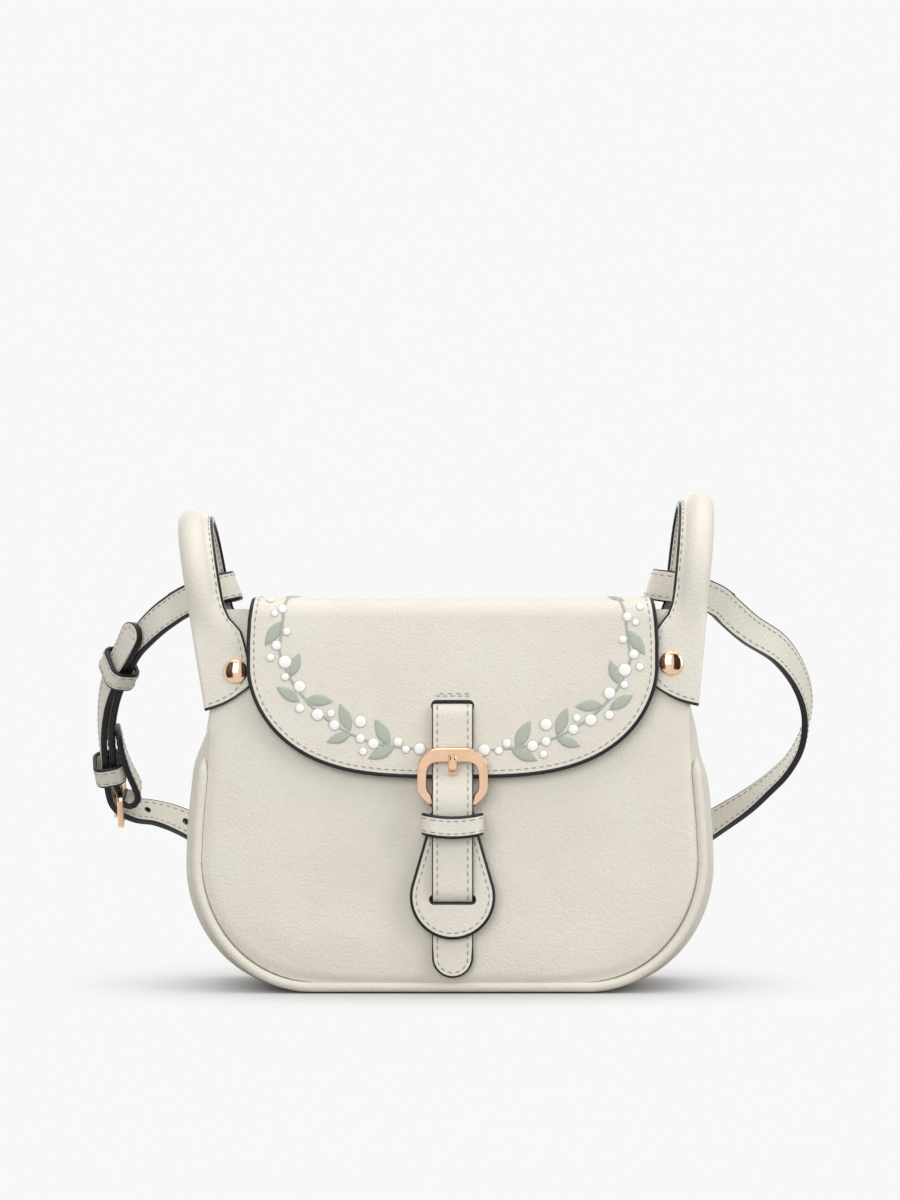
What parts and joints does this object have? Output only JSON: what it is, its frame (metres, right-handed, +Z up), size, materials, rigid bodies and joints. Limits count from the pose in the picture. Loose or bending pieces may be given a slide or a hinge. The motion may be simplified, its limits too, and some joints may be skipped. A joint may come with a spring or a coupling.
{
  "type": "baguette bag",
  "caption": "Small cream leather shoulder bag: front flap with buckled strap over a pear tab, riveted side handles and a buckled shoulder strap.",
  "frame": {"origin": "centre of the flat base, on the surface the bag stands on", "axes": "+X to the right seen from the front, +Y from the front panel to the back, +Z up"},
  "size_m": [0.2986, 0.1573, 0.1956],
  "materials": {
    "leather": "soft pebbled cream leather, semi-matt",
    "gusset_leather": "soft pebbled cream leather, semi-matt",
    "lining_cloth": "fine twill lining cloth",
    "handle_filler": "twisted cotton filler cord",
    "stiffener": "pressed fibre board",
    "gold_metal": "polished pale rose gold plating",
    "steel": "plain nickelled steel, hidden"
  },
  "bodies": {
    "bag": {"front_panel": "leather", "back_panel": "leather", "gusset": "gusset_leather", "front_piping": "leather", "back_piping": "leather", "lining": "lining_cloth", "base_board": "stiffener", "flap_rear_hem": "leather", "left_handle_cover": "leather", "left_handle_core": "handle_filler", "right_handle_cover": "leather", "right_handle_core": "handle_filler", "rivet_caps": "gold_metal", "rivet_posts": "steel", "snap_socket": "gold_metal", "snap_socket_washer": "steel"},
    "flap": {"flap": "leather", "flap_facing": "lining_cloth", "closure_strap_root": "leather"},
    "closure": {"closure_strap": "leather", "closure_pear_tab": "leather", "closure_keeper": "leather", "closure_buckle_frame": "gold_metal", "closure_buckle_bar": "gold_metal", "snap_stud": "gold_metal"},
    "closure_prong": {"closure_prong": "gold_metal"},
    "shoulder_strap": {"shoulder_strap_long": "leather", "shoulder_strap_short": "leather", "strap_lower_keeper": "leather", "strap_buckle_frame": "gold_metal", "strap_buckle_bar": "gold_metal"},
    "strap_keeper": {"strap_upper_keeper": "leather"},
    "strap_prong": {"strap_prong": "gold_metal"}
  },
  "joints": [
    {"name": "flap_hinge", "type": "hinge", "parent": "bag", "child": "flap", "pos_m": [0.001, 0.0295, 0.1502], "axis": [-1, 0, 0], "range_deg": [0, 135]},
    {"name": "closure_lift", "type": "hinge", "parent": "flap", "child": "closure", "pos_m": [0.001, -0.03664, 0.11215], "axis": [-1, 0, 0], "range_deg": [0, 80]},
    {"name": "closure_prong_pivot", "type": "hinge", "parent": "closure", "child": "closure_prong", "pos_m": [0.001, -0.0391, 0.07473], "axis": [1, 0, 0], "range_deg": [0, 5]},
    {"name": "strap_swing", "type": "hinge", "parent": "bag", "child": "shoulder_strap", "pos_m": [-0.0007, 0, 0.15865], "axis": [0.9994, 0, 0.0356], "range_deg": [0, 150]},
    {"name": "strap_keeper_slide", "type": "slide", "parent": "shoulder_strap", "child": "strap_keeper", "axis": [-0.3663, 0.5495, -0.7509], "range_m": [0, 0.005]},
    {"name": "strap_prong_pivot", "type": "hinge", "parent": "shoulder_strap", "child": "strap_prong", "pos_m": [-0.137, 0.0762, 0.07366], "axis": [0, 0.866, 0.5], "range_deg": [0, 5]}
  ]
}
